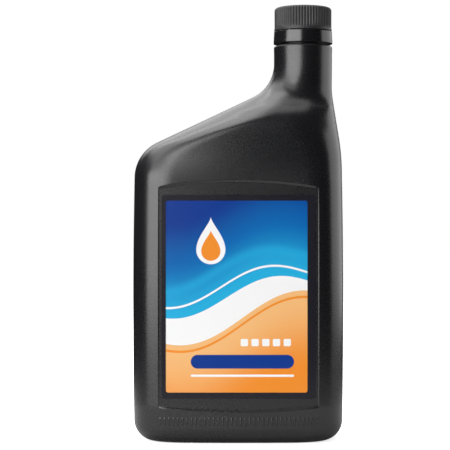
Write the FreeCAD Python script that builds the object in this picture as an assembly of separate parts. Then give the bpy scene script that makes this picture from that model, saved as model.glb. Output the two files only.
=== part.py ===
"""Quart bottle of motor oil: a blown bottle with an offset neck, its screw cap and what they hold.

The bottle stands on its base with the origin in the middle of the footprint. +Z is up, the
printed front faces -Y and the neck sits towards +X. All sizes are in millimetres.
"""

import FreeCAD
import Part

import math
import os

from FreeCAD import Vector

# Blown body
body_width = 113.0
body_depth = 58.5
wall = 1.0
draw_in = 0.7  # each side narrows this much towards the foot and towards the shoulder
base_corner_radius = 15.0  # foot of the two narrow sides
base_edge_radius = 9.0  # foot of the front and back

# Plan of the body: flat front and back joined by rounded noses
body_nose = 26.0
body_nose_power = 2.7  # 2 is an ellipse, more is squarer
roof_nose = 21.5
roof_nose_power = 2.2
nose_start = 128.0
nose_end = 160.0

# Sloping roof on the long side, from the left wall up to the neck
roof_foot = 153.5  # where the slope would meet the left wall
roof_lean = 64.7  # degrees away from upright
roof_corner_radius = 21.0
roof_sweep_radius = 20.0

# Short flank under the neck, on the right
flank_foot = 152.0
flank_lean = 9.5
flank_corner_radius = 120.0
flank_sweep_radius = 45.0

# Front and back leaning in to the neck
face_foot = 172.0
face_lean = 50.0
face_corner_radius = 17.0
face_sweep_radius = 15.0

# Neck below the cap
neck_inset = 21.5  # its axis, from the body's right side
neck_radius = 15.7
neck_top = 211.3
neck_edge_radius = 1.0
neck_round_start = 168.0  # the plan turns round from here
neck_round_end = 200.0

# Sections through the form
half_points = 16  # round each half of a section
turn_weight = 25.0  # length that counts like one radian of turning when points are spaced out
section_step = 4.4
cavity_step = 7.5
oil_step = 10.0
foot_steps = 4
hidden_foot_steps = 3  # inside the bottle
edge_steps = 2
nose_steps = 60  # points that trace each nose before they are spaced out
least_step = 1e-6  # a shorter one has no direction
least_radius = 0.01
tool_overrun = 1.0  # how far what cuts starts outside what it cuts

# Label panels, let into the front and the back
panel_half_width = 42.3
panel_low = 19.2  # at the corners
panel_high = 135.2
panel_top_bow = 3.5  # how far the top edge rises in the middle
panel_bottom_bow = 2.3
panel_depth = 0.9
panel_draft = 25.0  # degrees, of the step round the panel
panel_margin = 2.5
panel_sag = 4.0  # how far the body curves back across a panel

# Underside
foot_width = 5.0
push_up = 2.4
push_up_run = 6.0  # how far the slope up to it runs in
pinch_length = 62.0
pinch_width = 1.6
pinch_height = 0.8

# Finish at the mouth
finish_radius = 12.6
bore_radius = 10.9
finish_height = 18.3
lip_chamfer = 0.5
bead_radius = 13.7
bead_low = 3.6
bead_flat = 0.8
bead_slope = 1.2

# Cap
cap_radius = 15.35
cap_top_thickness = 1.4
cap_wall = 1.05  # behind the ribs
cap_entry = 0.5  # chamfer inside the open end
cap_edge_radius = 1.8
cap_edge_steps = 3
cap_rim = 0.15  # how far the plain lower rim stands out
rib_count = 60
rib_depth = 0.4
rib_crest_share = 0.4  # of the rib pitch
rib_root_share = 0.3
rib_low = 1.4  # top of the plain rim below the ribs

# Tamper band
band_low = 1.2
band_high = 7.55
band_radius = 15.85
band_wall = 0.8
band_hook_grip = 0.45  # how far the hook reaches under the bead
band_hook_height = 1.1
band_lip = 0.5  # thickness of its lower edge
band_clearance = 0.15
bridge_count = 12
bridge_width = 0.9
bridge_depth = 0.5
bridge_gap = 0.05
slit = 0.4

# Liner
liner_thickness = 1.0
liner_clearance = 0.3

# Front label
label_thickness = 0.2
label_half_width = 40.2
label_low = 24.2
label_high = 130.7
label_gap = 0.02  # adhesive

# Contents
fill_height = 182.0
oil_clearance = 0.25

mouth = neck_top + finish_height
cap_top = mouth + liner_thickness + cap_top_thickness
cap_low = neck_top + band_high + slit
shoulder = roof_foot - roof_corner_radius * math.tan(math.radians(roof_lean) / 2)
half_width = body_width / 2
half_depth = body_depth / 2
neck_offset = half_width - neck_inset
cap_root = cap_radius - rib_depth
cap_bore = cap_root - cap_wall
bead_base = neck_top + bead_low
ORIGIN = Vector(0, 0, 0)
UP = Vector(0, 0, 1)
CAP_AXIS = Vector(neck_offset, 0, 0)


def eased(z, low, high):
    """Smooth step from 0 at low to 1 at high."""
    t = min(max((z - low) / (high - low), 0.0), 1.0)
    return t * t * (3 - 2 * t)


def ogee(z, travel, foot, lean, corner_radius, sweep_radius, inset):
    """Inward distance at height z of a wall that stands, leans in by travel and stands again."""
    lean = math.radians(lean)
    bend = math.tan(lean / 2)
    start = foot - corner_radius * bend
    end = foot + travel / math.tan(lean) + sweep_radius * bend
    corner = corner_radius - inset
    sweep = sweep_radius + inset
    if z <= start:
        return inset
    if z <= start + corner * math.sin(lean):
        return corner_radius - math.sqrt(corner**2 - (z - start) ** 2)
    if z >= end:
        return travel + inset
    if z >= end - sweep * math.sin(lean):
        return travel - sweep_radius + math.sqrt(sweep**2 - (end - z) ** 2)
    return (z - foot) * math.tan(lean) + inset / math.cos(lean)


def rounded(distance, radius, inset):
    """How much a wall draws in at this distance from an end that has a rounded edge."""
    inner = max(radius - inset, least_radius)
    rise = min(max(radius - distance, 0.0), inner)
    return inner - math.sqrt(inner**2 - rise**2)


def limits(z, inset):
    """Left, right and half depth of the form at height z, its walls set in by inset."""
    middle = shoulder / 2
    drawn = draw_in * ((z - middle) / middle) ** 2 if z < shoulder else draw_in
    drawn *= 1 - eased(z, shoulder, neck_top)
    left = -half_width + drawn + ogee(
        z,
        half_width + neck_offset - neck_radius,
        roof_foot,
        roof_lean,
        roof_corner_radius,
        roof_sweep_radius,
        inset,
    )
    right = half_width - drawn - ogee(
        z,
        half_width - neck_offset - neck_radius,
        flank_foot,
        flank_lean,
        flank_corner_radius,
        flank_sweep_radius,
        inset,
    )
    depth = half_depth - ogee(
        z, half_depth - neck_radius, face_foot, face_lean, face_corner_radius, face_sweep_radius, inset
    )
    side = rounded(z, base_corner_radius, inset) + rounded(neck_top - z, neck_edge_radius, inset)
    front = rounded(z, base_edge_radius, inset) + rounded(neck_top - z, neck_edge_radius, inset)
    return left + side, right - side, depth - front


def nose(angle, reach, depth, power):
    """Point on a rounded nose, counted back from its tip."""
    across = math.cos(angle) ** (2 / power)
    return reach * (1 - across), depth * math.sin(angle) ** (2 / power)


def spaced_out(trace):
    """Points along a traced half outline, closer together where it turns."""
    run = [0.0]
    heading = math.pi / 2
    for one, two in zip(trace, trace[1:]):
        length = math.dist(one, two)
        turned = 0.0
        if length > least_step:
            ahead = math.atan2(two[1] - one[1], two[0] - one[0]) % (2 * math.pi)
            turned = abs(ahead - heading)
            heading = ahead
        run.append(run[-1] + length + turn_weight * turned)
    points = []
    index = 0
    for step in range(half_points + 1):
        target = run[-1] * step / half_points
        while index < len(run) - 2 and run[index + 1] < target:
            index += 1
        share = (target - run[index]) / max(run[index + 1] - run[index], least_step)
        (x, y), (next_x, next_y) = trace[index], trace[index + 1]
        points.append((x + (next_x - x) * share, y + (next_y - y) * share))
    return points


def outline(z, inset):
    """Points round the form at height z, starting at its right tip."""
    left, right, depth = limits(z, inset)
    turned = eased(z, neck_round_start, neck_round_end)
    roof = eased(z, nose_start, nose_end)
    circle = (right - left) / 2
    left_nose = body_nose + (roof_nose - body_nose) * roof
    left_power = body_nose_power + (roof_nose_power - body_nose_power) * roof
    left_nose = min(left_nose + (circle - left_nose) * turned, circle)
    right_nose = min(body_nose + (circle - body_nose) * turned, circle)
    left_power += (2 - left_power) * turned
    right_power = body_nose_power + (2 - body_nose_power) * turned
    trace = []
    for step in range(nose_steps + 1):
        back, y = nose(math.pi / 2 * step / nose_steps, right_nose, depth, right_power)
        trace.append((right - back, y))
    for step in range(nose_steps, -1, -1):
        back, y = nose(math.pi / 2 * step / nose_steps, left_nose, depth, left_power)
        trace.append((left + back, y))
    half = spaced_out(trace)
    return half + [(x, -y) for x, y in half[-2:0:-1]]


def closed_wire(points, smooth):
    """Closed wire through points, smooth or with straight sides."""
    if not smooth:
        return Part.makePolygon(points + points[:1])
    curve = Part.BSplineCurve()
    curve.interpolate(Points=points, PeriodicFlag=True)
    return Part.Wire([curve.toShape()])


def section(z, inset, smooth):
    """Closed wire round the form at height z."""
    return closed_wire([Vector(x, y, z) for x, y in outline(z, inset)], smooth)


def between(low, high, count):
    """Evenly spaced values after low, up to and with high."""
    return [low + (high - low) * (step + 1) / count for step in range(count)]


def section_heights(inset, steps, step_height):
    """Heights of the sections: close together where the outline bends."""
    low = inset
    high = neck_top - inset
    foot = [
        base_corner_radius - (base_corner_radius - low) * math.cos(math.pi / 2 * step / steps)
        for step in range(steps + 1)
    ]
    edge_start = min(neck_top - neck_edge_radius, high)
    edge = [
        edge_start + (high - edge_start) * math.sin(math.pi / 2 * step / edge_steps)
        for step in range(edge_steps + 1 if high > edge_start else 1)
    ]
    middle = (panel_low + panel_high) / 2
    barrel = [panel_low + 2 * panel_depth, middle, panel_high - 2 * panel_depth, shoulder]
    bends = between(shoulder, neck_round_end, math.ceil((neck_round_end - shoulder) / step_height))
    return foot + barrel + bends + edge


def outer_form():
    """Solid of the blown form, smooth as it is seen."""
    heights = section_heights(0.0, foot_steps, section_step)
    return Part.makeLoft([section(z, 0.0, True) for z in heights], True, True)


def inner_form(inset, step_height):
    """Solid of the hidden room in the blown form, its walls set in by inset."""
    heights = section_heights(inset, hidden_foot_steps, step_height)
    return Part.makeLoft([section(z, inset, False) for z in heights], True, True)


def panel_form(inset, smooth):
    """Upright stretch of the form behind the label panels, so that a flat label can lie on them."""
    low = panel_low - panel_bottom_bow - panel_margin
    high = panel_high + panel_top_bow + panel_margin
    outline_face = Part.Face(section((panel_low + panel_high) / 2, inset, smooth))
    outline_face.translate(UP * (low - (panel_low + panel_high) / 2))
    return outline_face.extrude(UP * (high - low))


def revolved(profile):
    """Solid turned from (radius, height) corners round the neck's axis."""
    points = [CAP_AXIS + Vector(radius, 0, height) for radius, height in profile]
    return Part.Face(Part.makePolygon(points + points[:1])).revolve(CAP_AXIS, UP, 360)


def panel_outline(y, grow):
    """Closed wire of a label panel at depth y: upright sides, and edges that bow out."""
    side = panel_half_width + grow
    low = panel_low - grow
    high = panel_high + grow
    right_low = Vector(side, y, low)
    right_high = Vector(side, y, high)
    left_high = Vector(-side, y, high)
    left_low = Vector(-side, y, low)
    edges = [
        Part.LineSegment(right_low, right_high),
        Part.Arc(right_high, Vector(0, y, high + panel_top_bow), left_high),
        Part.LineSegment(left_high, left_low),
        Part.Arc(left_low, Vector(0, y, low - panel_bottom_bow), right_low),
    ]
    return Part.Wire([edge.toShape() for edge in edges])


def panel_tool(inset):
    """Drafted blocks that cut both panels into a form whose walls are set in by inset."""
    slope = math.tan(math.radians(panel_draft))
    outside = half_depth + tool_overrun
    inside = half_depth - tool_overrun - panel_sag
    outer = panel_outline(-outside, inset + (outside - half_depth) * slope)
    inner = panel_outline(-inside, inset + (inside - half_depth) * slope)
    front = Part.makeLoft([outer, inner], True, True)
    return front.fuse(front.mirror(ORIGIN, Vector(0, 1, 0)))


def foot_outline(z, inset, smooth):
    """Closed wire at height z, this far inside the outline of the foot."""
    left, right, depth = limits(0.0, 0.0)
    reach = (right - left) / 2
    middle = (left + right) / 2
    across = 1 - inset / reach
    deep = 1 - inset / depth
    points = [Vector(middle + (x - middle) * across, y * deep, z) for x, y in outline(0.0, 0.0)]
    return closed_wire(points, smooth)


def push_up_tool(inset, smooth):
    """What the hollow foot takes out of a form whose walls are set in by inset."""
    run = tool_overrun * push_up_run / push_up
    low = foot_outline(-tool_overrun, foot_width - inset - run, smooth)
    high = foot_outline(push_up + inset, foot_width - inset + push_up_run, smooth)
    return Part.makeLoft([low, high], True, True)


def moulded_form(form, inset, smooth):
    """A blown form, its walls set in by inset, with its label panels and its hollow foot."""
    panels = panel_tool(inset).cut(panel_form(inset + panel_depth, smooth))
    return form.cut([panels, push_up_tool(inset, smooth)])


def finish():
    """Mouth of the bottle as a solid plug, with the bead that holds the tamper band."""
    root = neck_top - neck_edge_radius - wall
    return revolved(
        [
            (0.0, root),
            (finish_radius, root),
            (finish_radius, bead_base),
            (bead_radius, bead_base),
            (bead_radius, bead_base + bead_flat),
            (finish_radius, bead_base + bead_flat + bead_slope),
            (finish_radius, mouth - lip_chamfer),
            (finish_radius - lip_chamfer, mouth),
            (0.0, mouth),
        ]
    )


def pinch_off():
    """Seam that the mould leaves across the underside."""
    left, right, _ = limits(0.0, 0.0)
    corner = Vector((left + right - pinch_length) / 2, -pinch_width / 2, push_up - pinch_height)
    return Part.makeBox(pinch_length, pinch_width, pinch_height + wall / 2, corner)


def bottle():
    """Blown shell, open at the mouth, its hidden inside with straight sides."""
    solid = moulded_form(outer_form(), 0.0, True).fuse([finish(), pinch_off()])
    bore_low = neck_top - 2 * wall
    bore = Part.makeCylinder(bore_radius, mouth + tool_overrun - bore_low, CAP_AXIS + UP * bore_low)
    cavity = moulded_form(inner_form(wall, cavity_step), wall, False)
    return solid.cut([cavity, bore])


def motor_oil():
    """Oil in the bottle, up to its fill height."""
    body = inner_form(wall + panel_depth + oil_clearance, oil_step)
    floor = push_up + wall + oil_clearance
    room = Part.makeBox(
        body_width, body_depth, fill_height - floor, Vector(-half_width, -half_depth, floor)
    )
    return body.common(room)


def front_label():
    """Paper label, bent to the floor of the front panel."""
    back = panel_depth - label_gap
    paper = panel_form(back - label_thickness, True).cut(panel_form(back, True))
    sheet = Part.makeBox(
        2 * label_half_width,
        half_depth,
        label_high - label_low,
        Vector(-label_half_width, -half_depth, label_low),
    )
    return paper.common(sheet)


def ribbed_ring():
    """Toothed bar as tall as the cap, one tooth to each rib."""
    pitch = 2 * math.pi / rib_count
    tooth = [
        (cap_root, -0.5),
        (cap_root, -0.5 + rib_root_share),
        (cap_radius, -rib_crest_share / 2),
        (cap_radius, rib_crest_share / 2),
    ]
    points = []
    for rib in range(rib_count):
        for radius, place in tooth:
            angle = (rib + place) * pitch
            points.append(CAP_AXIS + Vector(radius * math.cos(angle), radius * math.sin(angle), cap_low))
    return Part.Face(Part.makePolygon(points + points[:1])).extrude(UP * (cap_top - cap_low))


def cap():
    """Screw cap: ribbed skirt above a plain rim, rounded top edge, hollow inside."""
    turn = [math.pi / 2 * step / cap_edge_steps for step in range(1, cap_edge_steps + 1)]
    flat = cap_root - cap_edge_radius
    rim_radius = cap_radius + cap_rim
    rim_top = cap_low + rib_low
    rib_top = cap_top - cap_edge_radius
    skirt_side = [(0.0, cap_low), (cap_radius, cap_low), (cap_radius, rib_top)]
    rounded_edge = [
        (flat + cap_edge_radius * math.cos(angle), rib_top + cap_edge_radius * math.sin(angle))
        for angle in turn
    ]
    skirt = revolved(skirt_side + rounded_edge + [(0.0, cap_top)])
    rim = revolved(
        [
            (0.0, cap_low),
            (rim_radius, cap_low),
            (rim_radius, rim_top),
            (0.0, rim_top),
        ]
    )
    ceiling = cap_top - cap_top_thickness
    hollow = revolved(
        [
            (0.0, cap_low),
            (cap_bore + cap_entry, cap_low),
            (cap_bore, cap_low + cap_entry),
            (cap_bore, ceiling),
            (0.0, ceiling),
        ]
    )
    return skirt.common(ribbed_ring()).fuse(rim).cut(hollow).removeSplitter()


def cap_liner():
    """Foam disc that seals the mouth, under the top of the cap."""
    return Part.makeCylinder(cap_bore - liner_clearance, liner_thickness, CAP_AXIS + UP * mouth)


def tamper_band():
    """Ring that stays under the bead, with the bridges that join it to a new cap."""
    low = neck_top + band_low
    high = neck_top + band_high
    hook_radius = bead_radius - band_hook_grip
    hook_top = bead_base - band_clearance
    hook_low = hook_top - band_hook_height
    inner = band_radius - band_wall
    ring = revolved(
        [
            (band_radius - band_lip, low),
            (band_radius, low),
            (band_radius, high),
            (inner, high),
            (inner, hook_top),
            (hook_radius, hook_top),
            (hook_radius, hook_low),
        ]
    )
    bridge = Part.makeBox(
        bridge_depth,
        bridge_width,
        slit - bridge_gap,
        CAP_AXIS + Vector(band_radius - (band_wall + bridge_depth) / 2, -bridge_width / 2, high),
    )
    bridges = []
    for place in range(bridge_count):
        copy = bridge.copy()
        copy.rotate(CAP_AXIS, UP, 360 * place / bridge_count)
        bridges.append(copy)
    return ring.fuse(bridges)


def main():
    """Build each piece and write it."""
    os.makedirs("parts", exist_ok=True)
    pieces = {
        "bottle": bottle(),
        "front_label": front_label(),
        "motor_oil": motor_oil(),
        "tamper_band": tamper_band(),
        "cap_liner": cap_liner(),
        "cap": cap(),
    }
    for name, shape in pieces.items():
        print(f"{name}: {len(shape.Solids)} solid, valid {shape.isValid()}, {shape.Volume / 1000:.2f} ml")
        shape.exportStep(f"parts/{name}.step")


if __name__ == "__main__":
    main()
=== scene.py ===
"""Looks of a quart bottle of motor oil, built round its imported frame.

The bottle stands on the floor with its printed front towards -Y and its neck towards +X. Sizes
of pieces and of the print are in millimetres, and a mesh becomes metres when it is made. The
finishes' grain, the lights, the camera and the floor are in metres.
"""

import logging
import math
from dataclasses import dataclass, field
from enum import Enum
from typing import Any, Sequence

import bmesh
import bpy
import numpy as np
from numpy.typing import NDArray
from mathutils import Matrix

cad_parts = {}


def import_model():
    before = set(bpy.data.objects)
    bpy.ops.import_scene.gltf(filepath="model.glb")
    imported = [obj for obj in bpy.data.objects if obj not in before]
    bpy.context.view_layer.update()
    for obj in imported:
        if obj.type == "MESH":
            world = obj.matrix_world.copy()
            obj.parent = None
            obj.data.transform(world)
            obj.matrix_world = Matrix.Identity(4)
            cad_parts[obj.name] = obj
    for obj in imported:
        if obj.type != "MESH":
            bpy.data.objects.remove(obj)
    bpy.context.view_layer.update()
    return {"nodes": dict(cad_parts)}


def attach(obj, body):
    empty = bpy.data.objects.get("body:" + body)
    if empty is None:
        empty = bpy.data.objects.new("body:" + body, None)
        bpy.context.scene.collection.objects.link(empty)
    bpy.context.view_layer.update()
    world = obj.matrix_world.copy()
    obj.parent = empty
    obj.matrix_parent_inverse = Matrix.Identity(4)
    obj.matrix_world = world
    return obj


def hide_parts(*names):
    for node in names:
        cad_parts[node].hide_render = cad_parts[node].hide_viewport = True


LOG = logging.getLogger("motor_oil_bottle")
Array = NDArray[np.float64]
Faces = NDArray[np.int64]
Patch = tuple[Array, Faces]
Pair = tuple[float, float]
Colour = tuple[float, float, float]

MM = 0.001
FULL_TURN = 2 * math.pi
QUARTER_TURN = math.pi / 2
MERGE_DISTANCE = 1e-7  # metres
SLIVER_LENGTH = 1e-8  # metres
LEAST_RADIUS = 0.01
NODES_A_ROW = 12
NODE_STEP = (180, 220)
WHITE: Colour = (1.0, 1.0, 1.0)


class Slot(Enum):
    """Material slots of the record that the new pieces belong to."""

    BODY = "body_plastic"
    CAP = "cap_plastic"
    LABEL = "label_paper"
    OIL = "oil"


class Body(Enum):
    """Rigid bodies that the new pieces ride on."""

    BOTTLE = "bottle_body"
    CAP = "cap_body"


def eased(value: Array, low: float, high: float) -> Array:
    """Smooth step from 0 at low to 1 at high: 3t² - 2t³ of the share t of the way.

    Args:
        value: Where to read the step.
        low: Where the step starts.
        high: Where the step ends.

    Returns:
        The height of the step at each value.
    """
    share = np.clip((value - low) / (high - low), 0.0, 1.0)
    return share * share * (3 - 2 * share)


def faded_ends(value: Array, low: float, high: float, run: float) -> Array:
    """Share that eases from 0 to 1 over a run after low and back over a run before high."""
    return np.minimum(eased(value, low, low + run), 1 - eased(value, high - run, high))


def turn_angles(count: int) -> Array:
    """This many even angles of a full turn, from 0."""
    return np.linspace(0.0, FULL_TURN, count, endpoint=False)


def arc_points(centre: Pair, radius: float, start: float, end: float, count: int) -> Array:
    """Points of a circular arc in a (radius, height) profile.

    Args:
        centre: Centre of the arc.
        radius: Radius of the arc.
        start: First angle in degrees, counted from outwards towards up.
        end: Last angle in degrees.
        count: How many points, both ends included.

    Returns:
        The points, one row each.
    """
    angle = np.radians(np.linspace(start, end, count))
    return np.column_stack([centre[0] + radius * np.cos(angle), centre[1] + radius * np.sin(angle)])


def spaced(stops: Sequence[float], counts: Sequence[int]) -> Array:
    """Values from the first stop to the last, evenly spaced between each two stops.

    Args:
        stops: Values that are reached exactly.
        counts: How many steps lie between each two stops.

    Returns:
        All the values in order, each stop once.
    """
    runs = [np.linspace(a, b, n, endpoint=False) for a, b, n in zip(stops, stops[1:], counts)]
    return np.concatenate(runs + [np.array([stops[-1]])])


def grid_faces(rows: int, columns: int, wraps: bool) -> Faces:
    """Quads that join a grid of points, row by row.

    Args:
        rows: Number of rows of points.
        columns: Number of points in a row.
        wraps: Whether the last column joins the first.

    Returns:
        Four point numbers for each quad, turned so that columns x rows points outwards.
    """
    across = columns if wraps else columns - 1
    row, column = np.meshgrid(np.arange(rows - 1), np.arange(across), indexing="ij")
    here = row * columns + column
    beside = row * columns + (column + 1) % columns
    return np.stack([here, beside, beside + columns, here + columns], axis=-1).reshape(-1, 4)


def signed_volume(mesh: bpy.types.Mesh) -> float:
    """Volume inside a closed mesh: the sum of the tetrahedra from the origin to its triangles.

    Args:
        mesh: The closed mesh.

    Returns:
        The volume, negative where the faces point inwards.
    """
    mesh.calc_loop_triangles()
    points = np.empty(len(mesh.vertices) * 3)
    mesh.vertices.foreach_get("co", points)
    points = points.reshape(-1, 3)
    corners = np.empty(len(mesh.loop_triangles) * 3, dtype=np.int64)
    mesh.loop_triangles.foreach_get("vertices", corners)
    a, b, c = (points[corners.reshape(-1, 3)[:, k]] for k in range(3))
    return float(np.einsum("ij,ij->i", a, np.cross(b, c)).sum() / 6)


def add_object(name: str, data: bpy.types.ID) -> bpy.types.Object:
    """Puts a mesh, light or camera into the scene as an object at the origin.

    Args:
        name: Name of the object.
        data: The mesh, light or camera.

    Returns:
        The new object.
    """
    made = bpy.data.objects.new(name, data)
    bpy.context.scene.collection.objects.link(made)
    return made


def make_piece(name: str, patches: Sequence[Patch], crease: float = 38.0) -> bpy.types.Object:
    """Makes one object from patches of points and quads, closed, smooth and facing outwards.

    Args:
        name: Name of the piece.
        patches: For each patch its points in millimetres, shaped (n, 3), and its faces.
        crease: Angle in degrees over which an edge stays sharp.

    Returns:
        The new object, at the origin.
    """
    points = np.concatenate([patch[0] for patch in patches]) * MM
    starts = np.cumsum([0] + [len(patch[0]) for patch in patches[:-1]])
    faces = np.concatenate([patch[1] + start for patch, start in zip(patches, starts)])
    mesh = bpy.data.meshes.new(name)
    mesh.from_pydata(points, [], faces.tolist())
    work = bmesh.new()
    work.from_mesh(mesh)
    bmesh.ops.remove_doubles(work, verts=work.verts, dist=MERGE_DISTANCE)
    bmesh.ops.dissolve_degenerate(work, edges=work.edges, dist=SLIVER_LENGTH)
    work.to_mesh(mesh)
    work.free()
    if signed_volume(mesh) < 0:
        mesh.flip_normals()
    mesh.shade_smooth()
    mesh.set_sharp_from_angle(angle=math.radians(crease))
    mesh.validate()
    return add_object(name, mesh)


def grid_patch(points: Array, wraps: bool) -> Patch:
    """Turns a (rows, columns, 3) array of points into a patch of points and quads."""
    rows, columns = points.shape[:2]
    return points.reshape(-1, 3), grid_faces(rows, columns, wraps)


def turned_grid(profile: Array, angles: Array, centre_x: float) -> Array:
    """Turns a profile round an upright axis, each point on a circle of its own radius.

    Args:
        profile: Rows of (radius, height).
        angles: Angles round the axis.
        centre_x: X of the axis, which stands at y = 0.

    Returns:
        The points, shaped (rows, angles, 3).
    """
    radius, height = profile[:, 0][:, None], profile[:, 1][:, None]
    x = centre_x + radius * np.cos(angles)[None, :]
    y = radius * np.sin(angles)[None, :]
    return np.stack([x, y, np.broadcast_to(height, x.shape)], axis=-1)


def closed_pad(front: Array, back: Array) -> Patch:
    """Closes a pad whose front and back are grids of the same size: four sides join their rims.

    Args:
        front: Points of the front, shaped (rows, columns, 3).
        back: Points of the back, shaped alike.

    Returns:
        One patch of points and quads.
    """
    rows, columns = front.shape[:2]
    number = np.arange(rows * columns).reshape(rows, columns)
    rim = np.concatenate([number[:, 0], number[-1, 1:], number[-2::-1, -1], number[0, -2:0:-1]])
    beside = np.roll(rim, -1)
    count = rows * columns
    sides = np.stack([rim, beside, beside + count, rim + count], axis=-1)
    faces = grid_faces(rows, columns, False)
    return (
        np.concatenate([front.reshape(-1, 3), back.reshape(-1, 3)]),
        np.concatenate([faces, faces[:, ::-1] + count, sides[:, ::-1]]),
    )


def drawn_in(ring: Array, shares: Sequence[float]) -> Array:
    """Rings between one ring and its middle, each at its share of the way out from the middle."""
    middle = ring.mean(axis=0)
    return middle + (ring[None] - middle) * np.array(shares)[:, None, None]


@dataclass(frozen=True)
class Thread:
    """A screw thread: a rounded ridge carried up a helix, running out to nothing at both ends."""

    centre_x: float
    root: float
    crest: float
    start: float
    turns: float
    root_width: float
    crest_width: float
    pitch: float = 4.2
    run_out: float = 0.5
    steps_a_turn: int = 96

    def patch(self) -> Patch:
        """Works out the ridge: its radius is root + (crest - root) times the section's share.

        Returns:
            One closed patch. The crest lies inside the root for a thread in a bore.
        """
        turn = np.linspace(0.0, self.turns * FULL_TURN, int(self.turns * self.steps_a_turn) + 1)
        fade = faded_ends(turn, 0.0, turn[-1], self.run_out)
        across = np.array([-0.5, -0.5, -0.4, -0.2, 0.2, 0.4, 0.5, 0.5])
        share = np.array([0.0, 0.12, 0.75, 1.0, 1.0, 0.75, 0.12, 0.0])
        width = self.root_width + (self.crest_width - self.root_width) * share
        radius = self.root + (self.crest - self.root) * fade[:, None] * share[None, :]
        height = self.start + self.pitch * turn[:, None] / FULL_TURN + (across * width)[None, :]
        x = self.centre_x + radius * np.cos(turn)[:, None]
        y = radius * np.sin(turn)[:, None]
        return grid_patch(np.stack([x, y, height], axis=-1), True)


def present(
    piece: bpy.types.Object, body: Body, slot: Slot, material: bpy.types.Material, *nodes: str
) -> None:
    """Dresses a piece, puts it on its body and hides the CAD nodes that it stands for.

    Args:
        piece: The finished piece.
        body: Body that the piece rides on.
        slot: Material slot of the record that it belongs to; not used.
        material: Its finish.
        nodes: CAD nodes that it replaces, if any.
    """
    piece.data.materials.clear()
    piece.data.materials.append(material)
    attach(piece, body.value)
    if nodes:
        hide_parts(*nodes)
    LOG.info("%s: %d faces on %s", piece.name, len(piece.data.polygons), body.value)


class Term:
    """A number in a node tree. The signs of arithmetic between terms and numbers add Math nodes."""

    def __init__(self, shader: "Shader", socket: bpy.types.NodeSocket) -> None:
        """Wraps a socket of this tree."""
        self.shader = shader
        self.socket = socket

    def math(self, operation: str, *others: Any) -> "Term":
        """Adds a Math node that starts with this number and returns its result."""
        made = self.shader.node("ShaderNodeMath", dict(enumerate((self, *others))), operation=operation)
        return Term(self.shader, made.outputs[0])

    def __add__(self, other: Any) -> "Term":
        """Adds a number."""
        return self.math("ADD", other)

    def __sub__(self, other: Any) -> "Term":
        """Takes a number away."""
        return self.math("SUBTRACT", other)

    def __mul__(self, other: Any) -> "Term":
        """Multiplies by a number."""
        return self.math("MULTIPLY", other)

    def __neg__(self) -> "Term":
        """Turns the sign round."""
        return self * -1.0

    def __abs__(self) -> "Term":
        """Drops the sign."""
        return self.math("ABSOLUTE")

    def span(
        self, low: float, high: float, to_low: float = 0.0, to_high: float = 1.0, smooth: bool = True
    ) -> "Term":
        """Maps this number from one range to another, held at both ends.

        Args:
            low: Where the first range starts.
            high: Where it ends; it may lie below its start.
            to_low: What the start becomes.
            to_high: What the end becomes.
            smooth: Whether it eases in and out.

        Returns:
            The mapped number.
        """
        made = self.shader.node(
            "ShaderNodeMapRange",
            {"Value": self, "From Min": low, "From Max": high, "To Min": to_low, "To Max": to_high},
            interpolation_type="SMOOTHSTEP" if smooth else "LINEAR",
        )
        return Term(self.shader, made.outputs["Result"])


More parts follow.
